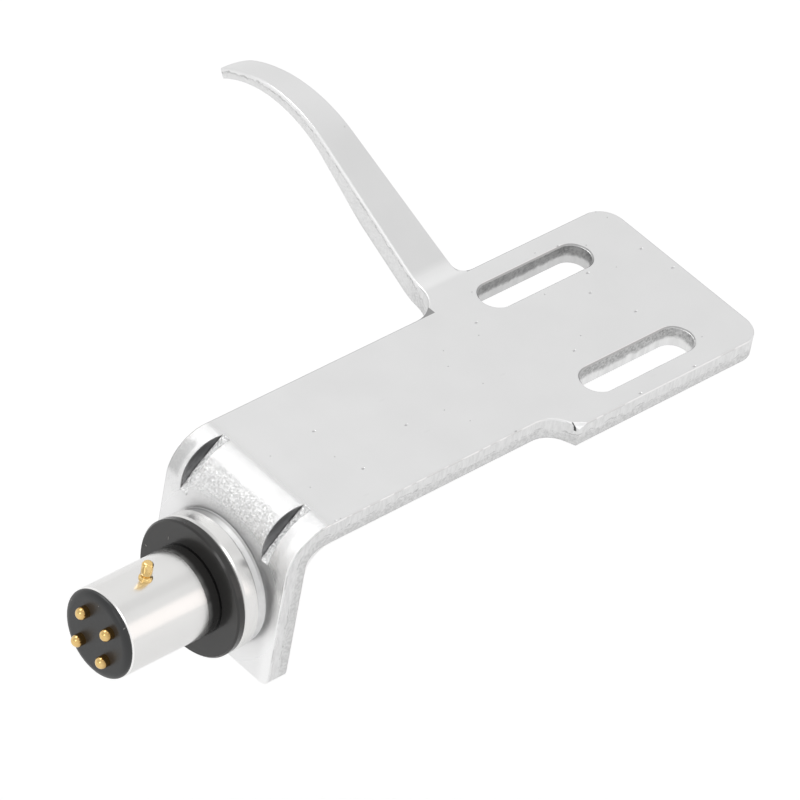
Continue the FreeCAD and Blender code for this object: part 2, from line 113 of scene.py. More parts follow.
class Finish:
    """A material being made: each method adds nodes and returns the socket that they feed."""

    def __init__(self, name):
        self.material = bpy.data.materials.new(name)
        self.material.use_nodes = True
        self.tree = self.material.node_tree
        self.surface = next(n for n in self.tree.nodes if n.type == "BSDF_PRINCIPLED")
        self.place = self.node("ShaderNodeTexCoord").outputs["Object"]

    def node(self, kind, **settings):
        made = self.tree.nodes.new(kind)
        for name, value in settings.items():
            setattr(made, name, value)
        return made

    def feed(self, socket, value):
        if isinstance(value, bpy.types.NodeSocket):
            self.tree.links.new(value, socket)
        elif value is not None:
            socket.default_value = value

    def math(self, what, a, b=None, c=None, clamp=False):
        made = self.node("ShaderNodeMath", operation=what, use_clamp=clamp)
        for socket, value in zip(made.inputs, (a, b, c)):
            self.feed(socket, value)
        return made.outputs[0]

    def less(self, a, b):
        return self.math("LESS_THAN", a, b)

    def more(self, a, b):
        return self.math("GREATER_THAN", a, b)

    def line(self, value, slope, start):
        """start + slope * value"""
        return self.math("MULTIPLY_ADD", value, slope, start)

    def gap(self, value, middle):
        """How far the value is from the middle, on either side."""
        return self.math("ABSOLUTE", self.math("SUBTRACT", value, middle))

    def length(self, a, b):
        """The long side of the right triangle on a and b: sqrt(a^2 + b^2)."""
        squares = (self.math("MULTIPLY", v, v) for v in (a, b))
        return self.math("SQRT", self.math("ADD", *squares))

    def all_of(self, first, *others):
        """Masks multiplied: 1 where all of them are 1."""
        for other in others:
            first = self.math("MULTIPLY", first, other)
        return first

    def any_of(self, first, *others):
        """The largest of the masks: 1 where any of them is 1."""
        for other in others:
            first = self.math("MAXIMUM", first, other)
        return first

    def band(self, value, low, high, smooth=True):
        """0 at low, 1 at high, and an S-shaped rise between them; low may be the larger one."""
        made = self.node("ShaderNodeMapRange",
                         interpolation_type="SMOOTHSTEP" if smooth else "LINEAR")
        self.feed(made.inputs["Value"], value)
        self.feed(made.inputs["From Min"], low)
        self.feed(made.inputs["From Max"], high)
        return made.outputs["Result"]

    def hill(self, value, foot, top, end, far_foot):
        """0 up to foot, 1 from top to end, and 0 again from far_foot on."""
        return self.all_of(self.band(value, foot, top), self.band(value, far_foot, end))

    def split(self, vector):
        made = self.node("ShaderNodeSeparateXYZ")
        self.feed(made.inputs[0], vector)
        return made.outputs[0], made.outputs[1], made.outputs[2]

    def joined(self, *parts):
        made = self.node("ShaderNodeCombineXYZ")
        for socket, value in zip(made.inputs, parts):
            self.feed(socket, value)
        return made.outputs[0]

    def millimetres(self):
        """The three coordinates of the place on the part, in millimetres."""
        return [self.math("DIVIDE", v, MM) for v in self.split(self.place)]

    def stretched(self, vector, stretch):
        """The vector times a stretch for each coordinate; under 1, marks get longer that way."""
        if stretch is None:
            return vector
        made = self.node("ShaderNodeVectorMath", operation="MULTIPLY")
        self.feed(made.inputs[0], vector)
        self.feed(made.inputs[1], stretch)
        return made.outputs[0]

    def noise(self, grain_mm, detail=2.0, roughness=0.5, vector=None, stretch=None):
        made = self.node("ShaderNodeTexNoise")
        place = self.place if vector is None else vector
        self.feed(made.inputs["Vector"], self.stretched(place, stretch))
        made.inputs["Scale"].default_value = 1 / (grain_mm * MM)
        made.inputs["Detail"].default_value = detail
        made.inputs["Roughness"].default_value = roughness
        return made.outputs[0]

    def specks(self, cell_mm, size_mm, share, stretch=None, flat=None):
        """Sparse marks: round a share of Voronoi's cell points, 1 inside size_mm and 0 outside.

        On a flat face `flat` names the two coordinates along it, so that the cells are flat too.
        """
        place = self.stretched(self.place, stretch)
        cells = self.node("ShaderNodeTexVoronoi", voronoi_dimensions="2D" if flat else "3D")
        if flat:
            parts = self.split(place)
            place = self.joined(*(parts["XYZ".index(name)] for name in flat))
        self.feed(cells.inputs["Vector"], place)
        cells.inputs["Scale"].default_value = 1 / (cell_mm * MM)
        chosen = self.less(self.split(cells.outputs["Color"])[0], share)
        reach = size_mm / cell_mm
        away = self.band(cells.outputs["Distance"], 0.4 * reach, reach)
        return self.all_of(self.math("SUBTRACT", 1.0, away), chosen)

    def mix(self, share, a, b):
        made = self.node("ShaderNodeMix", data_type="FLOAT")
        self.feed(made.inputs[0], share)
        self.feed(made.inputs[2], a)
        self.feed(made.inputs[3], b)
        return made.outputs[0]

    def blend(self, share, a, b):
        made = self.node("ShaderNodeMix", data_type="RGBA")
        self.feed(made.inputs[0], share)
        self.feed(made.inputs[6], colour(a))
        self.feed(made.inputs[7], colour(b))
        return made.outputs[2]

    def layers(self, tone, *rows):
        """Lays tones over the first one: each row has a mask, how much it covers and its tone."""
        for mask, cover, over in rows:
            tone = self.blend(mask if cover == 1 else self.all_of(mask, cover), tone, over)
        return tone

    def bump(self, height, reach_mm, strength=1.0, under=None):
        made = self.node("ShaderNodeBump")
        made.inputs["Strength"].default_value = strength
        made.inputs["Distance"].default_value = reach_mm * MM
        self.feed(made.inputs["Height"], height)
        self.feed(made.inputs["Normal"], under)
        return made.outputs[0]

    def shine(self, **values):
        """Sets or links the surface shader's sockets, such as Base_Color for Base Color."""
        for name, value in values.items():
            socket = self.surface.inputs[name.replace("_", " ")]
            self.feed(socket, colour(value) if isinstance(value, tuple) else value)

    def coat(self, *objects):
        for piece in objects:
            piece.data.materials.clear()
            piece.data.materials.append(self.material)
        print(self.material.name, "on", ", ".join(o.name for o in objects))


# %% [markdown]
# ## Floor, world and lamps
# The part was cut out on white. The floor is pale and takes a soft shadow; for rays from the
# camera and for rays that metal sends back it also glows a little, so it shows as white. The part
# is held by its plug in use, so it hovers over the floor as it does in the photograph.

# %% Floor
FLOOR_DROP = 30 * MM
FLOOR_HALF = 3.0
FLOOR_TONE = 0.86
FLOOR_GLOW_CAMERA, FLOOR_GLOW_SENT = 0.42, 0.30


def floor_grid():
    """A flat square: every point of a two by two grid lies FLOOR_DROP under the part."""
    side = np.array([-FLOOR_HALF, FLOOR_HALF])
    x, y = np.meshgrid(side, side)
    return np.stack([x.ravel(), y.ravel(), np.full(4, -FLOOR_DROP)], 1)


floor_mesh = bpy.data.meshes.new("floor")
floor_mesh.from_pydata(floor_grid().tolist(), [], [(0, 1, 3, 2)])
floor = bpy.data.objects.new("floor", floor_mesh)
bpy.context.scene.collection.objects.link(floor)


def seen_rays(tree):
    """1 for a ray from the camera, or sent on by gloss or through glass, and 0 for soft light."""
    rays = tree.nodes.new("ShaderNodeLightPath")
    total = rays.outputs["Is Camera Ray"]
    for name in ("Is Glossy Ray", "Is Transmission Ray"):
        joined = tree.nodes.new("ShaderNodeMath")
        joined.operation = "MAXIMUM"
        tree.links.new(total, joined.inputs[0])
        tree.links.new(rays.outputs[name], joined.inputs[1])
        total = joined.outputs[0]
    return total


paper = Finish("pale_floor")
camera_ray = paper.node("ShaderNodeLightPath").outputs["Is Camera Ray"]
glow = paper.mix(camera_ray, paper.all_of(seen_rays(paper.tree), FLOOR_GLOW_SENT),
                 FLOOR_GLOW_CAMERA)
paper.shine(Base_Color=(FLOOR_TONE, FLOOR_TONE, FLOOR_TONE), Roughness=0.9)
paper.shine(Emission_Color=(1, 1, 1), Emission_Strength=glow)
paper.coat(floor)

# %% [markdown]
# Satin metal shows nothing but what is round it, so the room matters as much as the finish. The
# world is even for soft light. For rays that gloss sends on it is a pale room with two slightly
# dimmer places: over the part's near side, where the lift and the sleeve show a grey streak, and
# behind the plug, which greys the lower half of the bend.

# %% World
WORLD_LEVEL, WORLD_SEEN = 0.72, 0.90
DIM_PLACES = (  # direction, cosines of the place's outer and inner angle, how much dimmer
    ((0.52, -0.15, 0.84), 0.975, 0.99, 0.10),
    ((-0.78, 0.46, 0.42), 0.86, 0.97, 0.20),
)

world = bpy.data.worlds.new("studio")
bpy.context.scene.world = world
world.use_nodes = True
sky = world.node_tree
background = next(n for n in sky.nodes if n.type == "BACKGROUND")
background.inputs["Color"].default_value = (1, 1, 1, 1)


def sky_node(kind, inputs, **settings):
    """Adds a node to the world: values are set on its sockets, and outputs are linked."""
    made = sky.nodes.new(kind)
    for name, value in settings.items():
        setattr(made, name, value)
    for socket, value in inputs.items():
        if isinstance(value, bpy.types.NodeSocket):
            sky.links.new(value, made.inputs[socket])
        else:
            made.inputs[socket].default_value = value
    return made


ray = sky.nodes.new("ShaderNodeTexCoord").outputs["Generated"]
seen = WORLD_SEEN
for aim, outer, inner, drop in DIM_PLACES:
    toward = sky_node("ShaderNodeVectorMath", {0: ray, 1: Vector(aim).normalized()},
                      operation="DOT_PRODUCT")
    patch = sky_node("ShaderNodeMapRange",
                     {"Value": toward.outputs["Value"], "From Min": outer, "From Max": inner,
                      "To Max": drop}, interpolation_type="SMOOTHSTEP")
    dimmed = sky_node("ShaderNodeMath", {0: seen, 1: patch.outputs["Result"]},
                      operation="SUBTRACT")
    seen = dimmed.outputs[0]
level = sky_node("ShaderNodeMix", {0: seen_rays(sky), 2: WORLD_LEVEL, 3: seen}, data_type="FLOAT")
sky.links.new(level.outputs[0], background.inputs["Strength"])
print("world", WORLD_LEVEL, "for soft light,", WORLD_SEEN, "where it is seen")

# %% [markdown]
# Four soft lamps stand in this room. A wide one overhead gives the bend its white band, one over
# the near side lights the sleeve's length with a pale, slightly warm streak, a small one straight
# above catches corners and rims, and one behind the plug draws the thin white lines along edges
# that face the plug. They only shine in gloss: the even world does the rest, so the floor and
# every colour keep their plain level.

# %% Lamps
LAMP_AWAY = 0.6
PART_MIDDLE = Vector((0.025, 0, 0))
WHITE, WARM = (1, 1, 1), (1.0, 0.87, 0.81)
LAMPS = (  # name, direction, sides in metres, radiance, tint
    ("overhead_box", (-0.06, 0.5, 0.86), (0.30, 0.30), 3.2, WHITE),
    ("near_box", (0.50, -0.80, 0.36), (0.36, 0.34), 0.36, WARM),
    ("top_box", (0.07, -0.26, 0.96), (0.16, 0.16), 1.2, WHITE),
    ("plug_box", (-0.85, -0.12, 0.50), (0.22, 0.20), 1.6, WHITE),
)


def softbox(name, aim, size, radiance, tint):
    """An area lamp that faces the part, its first side along X.

    Its watts are radiance times pi times area.
    """
    lamp = bpy.data.lights.new(name, "AREA")
    lamp.shape = "RECTANGLE"
    lamp.size, lamp.size_y = size
    lamp.energy = radiance * math.pi * size[0] * size[1]
    lamp.color = tint
    piece = bpy.data.objects.new(name, lamp)
    piece.visible_diffuse = False
    piece.visible_camera = False
    out = Vector(aim).normalized()
    along = (Vector((1, 0, 0)) - out * out.x).normalized()
    piece.matrix_world = placed(along, out.cross(along), out, PART_MIDDLE + out * LAMP_AWAY)
    bpy.context.scene.collection.objects.link(piece)
    print(name, f"{lamp.energy:.2f} W")


for row in LAMPS:
    softbox(*row)

# %% [markdown]
# ## Pressed aluminium
# The plate is one pressed sheet with a satin top. Its cut sides were sheared by the press: a
# smooth, bright upper band where the punch slid, and a rougher band below it where the sheet
# broke. The finish needs to know how deep under the top a point is. On the flat that is a height,
# on the bend a distance from the bend's axis, on the flange a distance along the plug, and on the
# lift a height under its rising and arching line, which a float curve holds. Top and under side
# have a depth of 0 and of one sheet, so depth alone tells the cut sides from the rest.

# %% Depth under the top of the sheet
SHEET = 2.1
PLATE_TOP = 9.3
FLANGE_OUT = 3.1
BEND_OUTER = 3.7
BEND_X = FLANGE_OUT + BEND_OUTER
BEND_Z = PLATE_TOP - BEND_OUTER
HEAD_SIDE = 10.0
LIFT_START, LIFT_END = 10.4, 38.6
LIFT_BEND, LIFT_ARCH = 3.0, 14.5
LIFT_CLIMB = math.radians(22.3)
LIFT_RISE = 14.1
CURVE_HEIGHT = 10


def lift_line():
    """Heights of the lift's top over the plate, in millimetres, for places along Y.

    The line is flat up to LIFT_START and bends up on the radius LIFT_BEND. It climbs straight
    for LIFT_RISE at the angle LIFT_CLIMB, and then arches down on the radius LIFT_ARCH.
    """
    bend = LIFT_START + LIFT_BEND * math.sin(LIFT_CLIMB)
    arch = bend + LIFT_RISE * math.cos(LIFT_CLIMB)
    y = np.concatenate([[HEAD_SIDE], np.linspace(LIFT_START, bend, 5),
                        np.linspace(bend + 1, LIFT_END, 28)])
    z = np.zeros_like(y)
    first = LIFT_BEND * (1 - math.cos(LIFT_CLIMB))
    on_bend = (y > LIFT_START) & (y <= bend)
    z[on_bend] = LIFT_BEND - np.sqrt(LIFT_BEND ** 2 - (y[on_bend] - LIFT_START) ** 2)
    on_rise = (y > bend) & (y <= arch)
    z[on_rise] = first + (y[on_rise] - bend) * math.tan(LIFT_CLIMB)
    hub_y = arch + LIFT_ARCH * math.sin(LIFT_CLIMB)
    hub_z = first + LIFT_RISE * math.sin(LIFT_CLIMB) - LIFT_ARCH * math.cos(LIFT_CLIMB)
    on_arch = y > arch
    z[on_arch] = hub_z + np.sqrt(LIFT_ARCH ** 2 - (y[on_arch] - hub_y) ** 2)
    return y, z


def sheet_depth(finish, x, y, z):
    """Depth in millimetres under the sheet's upper face, wherever on the plate the point is."""
    line_y, line_z = lift_line()
    curve = finish.node("ShaderNodeFloatCurve")
    points = curve.mapping.curves[0].points
    while len(points) < len(line_y):
        points.new(0.5, 0.5)
    for point, py, pz in zip(points, line_y, line_z):
        point.location = ((py - HEAD_SIDE) / (LIFT_END - HEAD_SIDE), pz / CURVE_HEIGHT)
        point.handle_type = "VECTOR"
    curve.mapping.update()
    finish.feed(curve.inputs["Value"], finish.band(y, HEAD_SIDE, LIFT_END, smooth=False))
    lift = finish.line(curve.outputs[0], CURVE_HEIGHT, finish.math("SUBTRACT", PLATE_TOP, z))
    reach = finish.length(finish.math("SUBTRACT", BEND_X, x), finish.math("SUBTRACT", z, BEND_Z))
    bend = finish.math("SUBTRACT", BEND_OUTER, reach)
    flange = finish.math("SUBTRACT", x, FLANGE_OUT)
    plug_side = finish.mix(finish.less(z, BEND_Z), bend, flange)
    return finish.mix(finish.less(x, BEND_X), lift, plug_side)


print("lift's top", f"{lift_line()[1].max():.1f} mm over the plate")

# %% [markdown]
# The material is in hand as `f` while it is made, and every number below is a place on the part
# in millimetres, a share or a tone. A tone of 1 sends all light back. The first masks tell the
# cut sides, the slots and the darts from the satin faces.

# %% Sides, slots and darts
DART_MIDDLE, DART_SHIFT = 5.05, 0.18
DART_HALF, DART_END_X, DART_END_Z = 1.3, 7.8, 4.4
SLOT_FROM, SLOT_TO, SLOT_SIDE = 36.5, 50.0, 8.6
f = Finish("satin_pressed_aluminium")
x, y, z = f.millimetres()
depth = sheet_depth(f, x, y, z)
cut_side = f.hill(depth, 0.10, 0.22, SHEET - 0.06, SHEET - 0.01)
in_slot = f.all_of(f.more(x, SLOT_FROM), f.less(x, SLOT_TO), f.less(f.gap(y, 0.0), SLOT_SIDE))
dart_side = f.gap(y, DART_SHIFT)
from_dart = f.gap(dart_side, DART_MIDDLE)
in_dart = f.all_of(f.less(from_dart, DART_HALF), f.less(x, DART_END_X), f.more(z, DART_END_Z),
                   f.band(depth, 0.05, 0.14))
on_bend = f.less(x, BEND_X)
on_lift = f.band(y, 10.2, 11.0)
print("sides, slots and darts told apart")

# %% [markdown]
# The flange carries a raised seat for the plug. A painted shade darkens its flank, more towards +Y,
# and a painted black line of shade lies in the narrow seam behind the collar; a painted soft shade
# lies at its foot, and a painted grey shade beside it. Painted highlights make a stripe on the near
# side of the flange and the root of the lift paler.

# %% The flange round its seat
from_axis = f.length(y, z)
# painted shade: the seat's flank, the seam behind the collar and the seat's foot are toned dark
seat_flank = f.all_of(f.band(x, 3.07, 3.0), f.less(from_axis, 6.4))
seat_seam_shade = f.all_of(f.band(x, 2.50, 2.46), f.more(from_axis, 5.3))
seat_foot_shade = f.all_of(f.hill(from_axis, 5.80, 5.95, 6.03, 6.32), f.hill(x, 2.84, 2.94, 3.20, 3.40),
                     f.band(z, 1.5, 5.5))
# painted shade beside the seat, its edge moved by a noise
painted_seat_shade_y = f.line(f.math("SUBTRACT", f.noise(1.6, 3.0, 0.6), 0.5), 1.6, y)
painted_seat_shade = f.all_of(f.hill(painted_seat_shade_y, -6.9, -6.3, -4.6, -3.6), f.hill(z, -1.2, 1.6, 4.9, 5.9),
                  f.band(x, 3.6, 3.3))
# painted highlights: a pale stripe on the flange's near side, and a pale band at the lift's root
near_highlight_stripe = f.all_of(f.band(y, -5.9, -6.9), f.band(x, 6.6, 5.0))
lift_root_highlight = f.hill(y, 9.7, 10.4, 11.3, 12.2)
print("seat, smudge and the lift's root placed")

# %% [markdown]
# Bending stretched the skin outside the bend into a fine orange peel, with painted glints on it,
# and a painted shade makes it greyer under the bend's white band and at the corner outside the +Y
# dart. The peel is a noise of a sixth of a millimetre, and its limits are moved by a coarser noise,
# so that no straight border shows.

# %% The stretched bend
BEND_WAVE = 0.9
mottled = f.noise(4.0, 3.0)
peel = f.noise(0.17, 3.0, 0.65)
# painted glints: specks that are toned white on the bend
glints = f.specks(0.42, 0.11, 0.50)
wavy_z = f.line(f.math("SUBTRACT", f.noise(0.7, 4.0, 0.7), 0.5), BEND_WAVE, z)
between_darts = f.all_of(on_bend, f.band(dart_side, 5.9, 5.3))
# painted shade: greyer under the bend's white band and at the corner outside the +Y dart
below_band_shade = f.all_of(between_darts, f.hill(wavy_z, 7.1, 8.1, 8.60, 8.86))
far_corner_shade = f.all_of(on_bend, f.band(y, 5.9, 6.6), f.band(wavy_z, 9.05, 8.55),
                      f.band(z, 5.8, 6.7))
orange_peel = f.all_of(between_darts, f.hill(z, 5.8, 7.0, 8.45, 8.85))
glint_zone = f.all_of(between_darts, f.hill(z, 7.2, 8.2, 8.7, 9.0))
print("peel and glints on the bend")

# %% Tone of the upper face
flange_tone = f.blend(mottled, 0.84, 0.94)
peel_tone = f.blend(f.band(peel, 0.38, 0.64), 0.60, 1.0)
# painted shade on the seat's flank, darker towards +Y and in patches
flank_shade_tone = f.blend(f.band(y, -1.0, 2.2), 0.86, 0.36)
flank_shade_tone = f.blend(f.all_of(f.noise(0.8, 3.0), 0.35), flank_shade_tone, 0.30)
# Painted light among these rows: highlights at the lift's root and on the near stripe, glints, and
# shade under the bend's band, at the far corner, beside the seat, on its flank, at its foot and in
# the seam.
top_tone = f.layers(
    f.blend(mottled, 0.765, 0.795),
    (lift_root_highlight, 0.6, 0.93),
    (f.band(x, 4.4, 3.4), 1, flange_tone),
    (near_highlight_stripe, 1, 0.98),
    (below_band_shade, 0.36, 0.30),
    (far_corner_shade, 0.46, 0.26),
    (orange_peel, 0.6, peel_tone),
    (f.all_of(glints, glint_zone), 1, 1.0),
    (painted_seat_shade, 0.30, 0.22),
    (seat_flank, 1, flank_shade_tone),
    (seat_foot_shade, 0.42, 0.12),
    (seat_seam_shade, 1, 0.10),
)
print("upper face toned")

# %% [markdown]
# The shear line between the smooth and the broken band is ragged, so a noise moves it up and down,
# and fine dark tears follow it. In the slots, punched the other way, the broken band is the upper
# one and darker, and a painted shade makes the far slot's walls darker than the near one's.

# %% Cut sides and slot walls
SHEAR_BLUR, TEAR_HALF = 0.25, 0.09
SLOT_BLUR = 0.45
fine = f.noise(0.30, 4.0, 0.7)
fine_spots = f.band(fine, 0.35, 0.65)
shear_line = f.mix(on_lift, f.line(f.noise(1.3, 4.0, 0.6), 1.1, 0.50),
                   f.line(f.noise(0.7, 5.0, 0.85), 1.1, -0.14))
broken = f.all_of(cut_side, f.band(depth, shear_line, f.math("ADD", shear_line, SHEAR_BLUR)))
slot_line = f.line(f.noise(1.0, 4.0, 0.6), 1.0, 0.45)
slot_torn = f.all_of(cut_side, f.band(depth, f.math("ADD", slot_line, SLOT_BLUR), slot_line))
torn = f.mix(in_slot, broken, slot_torn)
off_line = f.math("DIVIDE", f.math("SUBTRACT", depth, shear_line), TEAR_HALF)
on_line = f.math("SUBTRACT", 1.0, f.math("ABSOLUTE", off_line), clamp=True)
tear_marks = f.all_of(on_line, cut_side,
                      f.band(f.noise(0.9, 2.0), f.mix(on_lift, 0.46, 0.20), 0.60),
                      f.math("SUBTRACT", 1.0, in_slot))
streaks = f.noise(0.22, 3.0, 0.6, stretch=(1, 1, 0.22))
side_tone = f.layers(
    f.blend(f.band(streaks, 0.3, 0.7), 0.72, 0.82),
    (torn, 1, f.blend(fine_spots, 0.62, 0.78)),
    (f.band(y, 9.5, 13.0), 0.6, 0.93),
)
drawn = f.band(f.noise(0.7, 3.0, 0.6, stretch=(1, 1, 0.06)), 0.34, 0.66)
# painted shade: the far slot's walls darker than the near slot's
far_slot_shade = f.mix(f.band(y, -1.0, 1.0), 0.0, 0.55)
slot_tone = f.layers(
    f.blend(drawn, 0.76, 0.86),
    (slot_torn, 1, f.blend(fine_spots, 0.40, 0.66)),
    (far_slot_shade, 1, f.blend(slot_torn, 0.50, 0.16)),
)
print("cut sides toned")

# %% [markdown]
# The rim between face and side is slightly rolled over. It shows as a thin line that is painted: a
# painted highlight along the lift and in dashes along the near edge, a darker tone elsewhere that
# turns to painted shade in the slots, and painted shade along the far edges, where it turns away.
# One short, dark nick crosses the near rim of the head, just in front of its shoulder.

# %% Rims and the nick
NICK_X, NICK_Y = 32.86, -9.68
NICK_WAVE = 0.16
NECK_FAR, HEAD_FAR, FRONT, LIFT_FAR = 7.42, 9.87, 54.72, 37.76
NECK_END, LIFT_ROOT_END = 32.5, 38.5
LIFT_TAPER_FROM, LIFT_TAPER = 17.0, 0.0336
rolled = f.all_of(f.hill(depth, 0.015, 0.05, 0.12, 0.22), f.line(f.band(y, 33.0, 35.5), -0.8, 1.0))
# painted glints in dashes along the near rim, a painted highlight on the lift's rim, painted shade
# on the slots' rims
near_glint_dashes = f.all_of(f.band(y, -7.2, -7.35), f.band(f.noise(1.8, 3.0), 0.40, 0.50), 0.55)
painted_rim_tone = f.blend(f.any_of(on_lift, near_glint_dashes), f.blend(in_slot, 0.66, 0.42), 1.0)
past_taper = f.math("MAXIMUM", f.math("SUBTRACT", y, LIFT_TAPER_FROM), 0.0)
lift_x = f.line(past_taper, LIFT_TAPER, x)
# painted shade along the far edges
far_edge_shade = f.any_of(
    f.all_of(f.band(y, NECK_FAR, NECK_FAR + 0.04), f.less(x, NECK_END)),
    f.all_of(f.band(y, HEAD_FAR, HEAD_FAR + 0.04), f.more(x, LIFT_ROOT_END)),
    f.band(x, FRONT, FRONT + 0.04),
    f.all_of(on_lift, f.band(lift_x, LIFT_FAR, LIFT_FAR + 0.05)),
)
far_edge_shade = f.all_of(far_edge_shade, f.band(depth, 0.14, 0.10))
nick_x = f.line(f.noise(0.5, 2.0), NICK_WAVE, f.math("SUBTRACT", x, NICK_X + NICK_WAVE / 2))
nick = f.all_of(f.band(f.math("ABSOLUTE", nick_x), 0.08, 0.03),
                f.band(f.gap(y, NICK_Y), 0.50, 0.40), f.less(depth, 0.6))
print("nick at", NICK_X, NICK_Y)

# %% [markdown]
# The darts were driven in with a chisel-like tool, which left streaks along the stroke on their
# walls; the walls are toned dark as a painted shade, darker towards the top. The chord of a dart
# runs at 45 degrees, so the noise is stretched along X + Z. Small dents and scuffs lie on the flat
# top.

# %% Darts, dents and scuffs
ALONG_STROKE, ACROSS_STROKE = 0.10, 0.7
stroke_place = f.joined(f.math("MULTIPLY", f.math("ADD", x, z), ALONG_STROKE * MM),
                        f.math("MULTIPLY", y, MM),
                        f.math("MULTIPLY", f.math("SUBTRACT", z, x), ACROSS_STROKE * MM))
stroke = f.band(f.noise(0.30, 3.0, 0.6, stroke_place), 0.35, 0.70)
# painted shade: the dart walls are toned dark, darker towards the top, over streaks along the
# tool's stroke
streaked_and_shaded = f.blend(stroke, (0.44, 0.44, 0.445), (0.62, 0.62, 0.63))
streaked_and_shaded = f.blend(f.band(z, 5.4, 8.8), streaked_and_shaded, f.blend(0.62, streaked_and_shaded, (0.12, 0.12, 0.125)))
dart_wall = f.all_of(in_dart, f.band(from_dart, 0.42, 0.455))
flat_top = f.all_of(f.band(depth, 0.04, 0.015), f.band(x, 7.5, 8.5))
dents = f.any_of(f.specks(6.5, 0.20, 0.40, stretch=(1.0, 1.7, 1.0), flat="XY"),
                 f.specks(4.1, 0.09, 0.30, stretch=(1.0, 1.3, 1.0), flat="XY"))
dents = f.all_of(dents, flat_top)
scuffs = f.all_of(f.specks(5.0, 0.22, 0.40, stretch=(0.5, 1.5, 1.0), flat="XY"), flat_top)
print("darts scraped, top dented")

# %% The whole plate
# painted light in this stack: the rim line's highlights and shade, the far edges' shade and the
# dart walls' shade
tone = f.layers(
    top_tone,
    (rolled, 1, painted_rim_tone),
    (cut_side, 1, f.blend(in_slot, side_tone, slot_tone)),
    (f.all_of(tear_marks, f.mix(on_lift, 0.50, 0.75)), 1, 0.24),
    (far_edge_shade, 1, 0.34),
    (nick, 1, 0.06),
    (in_dart, 1, 0.80),
    (dart_wall, 1, streaked_and_shaded),
    (scuffs, 0.10, 0.60),
    (dents, 0.45, 0.30),
)
skin_stretch = f.all_of(f.band(x, 7.6, 6.2), f.band(z, 2.2, 6.2), f.band(depth, 0.3, 0.05))
grain = f.all_of(f.noise(0.15, 4.0, 0.7), f.line(skin_stretch, 1.0, 0.02))
relief = f.bump(grain, 0.075)
relief = f.bump(f.all_of(fine, torn), 0.10, 0.9, relief)
relief = f.bump(dents, -0.05, 1.0, relief)
plug_side_gloss = f.mix(f.band(x, 4.6, 3.3), 0.20, 0.12)
face_gloss = f.mix(f.band(x, 8.2, 6.2), f.line(mottled, 0.08, 0.28), plug_side_gloss)
round_seat = f.all_of(f.band(from_axis, 8.6, 6.6), f.band(x, 3.6, 3.2))
face_gloss = f.mix(round_seat, face_gloss, 0.42)
gloss = f.mix(cut_side, face_gloss, f.mix(torn, 0.30, 0.42))
f.shine(Base_Color=tone, Metallic=1.0, Normal=relief, Roughness=f.mix(in_dart, gloss, 0.42))
f.coat(nodes["plate"])

# %% [markdown]
# ## Turned sleeve
# The sleeve and its collar were turned on a lathe, then brushed to a soft shine. The tool left fine
# rings round the axis, too fine to see one by one, so a noise that changes fast along the axis and
# not round it gives the grooves. The sleeve's front edge was broken with the tool and carries a
# painted highlight, and a painted shade darkens the collar's back edge where it meets the seat.

# %% Sleeve finish
SLEEVE_EDGE, COLLAR_BACK = -9.32, 2.15
f = Finish("turned_aluminium")
x = f.millimetres()[0]
rings = f.noise(0.05, 2.0, stretch=(1.0, 0.02, 0.02))
# painted highlight along the sleeve's front edge, painted shade along the collar's back edge
sleeve_tone = f.layers(
    f.blend(f.noise(2.5, 2.0), (0.80, 0.795, 0.785), (0.84, 0.835, 0.825)),
    (f.band(x, SLEEVE_EDGE, SLEEVE_EDGE - 0.04), 1, (1.0, 0.99, 0.98)),
    (f.band(x, COLLAR_BACK, COLLAR_BACK + 0.04), 1, 0.10),
)
f.shine(Base_Color=sleeve_tone, Metallic=1.0)
f.shine(Roughness=f.line(rings, 0.08, 0.19), Normal=f.bump(rings, 0.003, 0.5))
f.coat(nodes["plug_sleeve"])

# %% [markdown]
# ## Black washer
# The washer is a smooth, hard rubber. It is black and glossy enough to mirror the sleeve, with a
# few fibres and dust grains on it. Its lip lines the sleeve's foot; its end is given a painted grey
# reflection in patches, and a painted black shade marks the seam round it.

# %% Washer finish
f = Finish("glossy_black_rubber")
x, y, z = f.millimetres()
fibres = f.specks(1.3, 0.07, 0.40, stretch=(1.0, 0.5, 1.0), flat="YZ")
hairs = f.specks(1.5, 0.05, 0.40, stretch=(1.0, 1.0, 0.22), flat="YZ")
dust = f.all_of(f.any_of(fibres, hairs), f.band(y, -4.0, 2.5))
from_axis = f.length(y, z)
# painted shade in the seam at the lip's foot, and a painted grey reflection on the lip's end
lip_seam_shade = f.all_of(f.band(from_axis, 4.16, 4.08), f.band(x, -0.16, -0.08))
lip_grey_reflection = f.all_of(f.band(x, -0.75, -1.25), f.band(from_axis, 4.1, 4.02))
washer_tone = f.layers(
    (0.034, 0.033, 0.032),
    (f.all_of(lip_grey_reflection, f.band(f.noise(0.9, 2.0), 0.1, 0.7)), 1, (0.22, 0.22, 0.215)),
    (lip_seam_shade, 1, 0.004),
    (dust, 0.7, (0.46, 0.44, 0.42)),
)
f.shine(Base_Color=washer_tone, Roughness=f.mix(dust, f.line(f.noise(1.2, 3.0), 0.10, 0.12), 0.8))
f.shine(Normal=f.bump(f.noise(0.5, 3.0), 0.01, 0.4))
f.coat(nodes["seal_washer"])

# %% [markdown]
# ## Black core
# The core is moulded plastic. Its front is a cap whose edge is rounded, which a solid made of
# straight cuts only hints at. A lathe gives it: a profile of distances along the axis and radii is
# turned round the plug's axis, as a grid of profile point by angle.

# %% Core with a rounded nose


